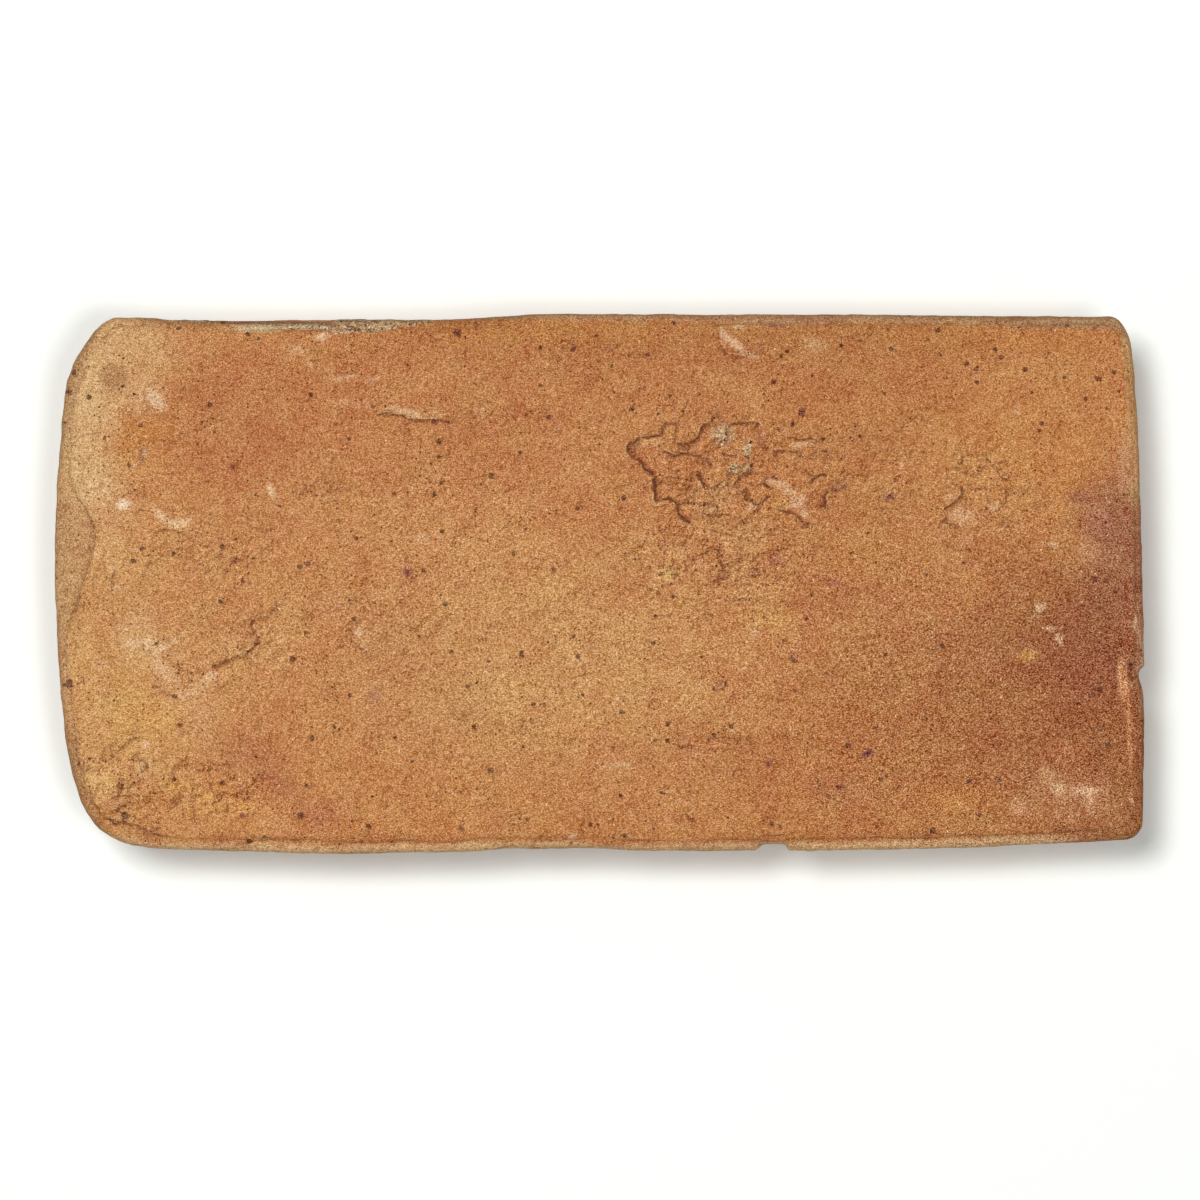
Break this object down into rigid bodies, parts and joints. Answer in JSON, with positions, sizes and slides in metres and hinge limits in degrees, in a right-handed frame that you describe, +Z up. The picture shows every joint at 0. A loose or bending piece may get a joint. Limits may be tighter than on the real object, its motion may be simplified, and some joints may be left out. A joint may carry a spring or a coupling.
{
  "type": "clay brick",
  "caption": "Solid hand-moulded fired-clay brick with worn corners, a pressed-out lip under the struck face, a bruised end and a shallow torn flake; laid in mortar.",
  "frame": {"origin": "middle of the overall box's footprint, at the bed face that the brick lies on", "axes": "+X along the length towards the square end, +Y across the width, +Z up from the bed to the struck face"},
  "size_m": [0.22, 0.1086, 0.05],
  "materials": {
    "fired_clay": "matt unglazed fired clay, orange to ochre with darker kiln-flamed areas, sandy grain and dark specks"
  },
  "bodies": {
    "root": {"brick": "fired_clay"}
  },
  "joints": []
}
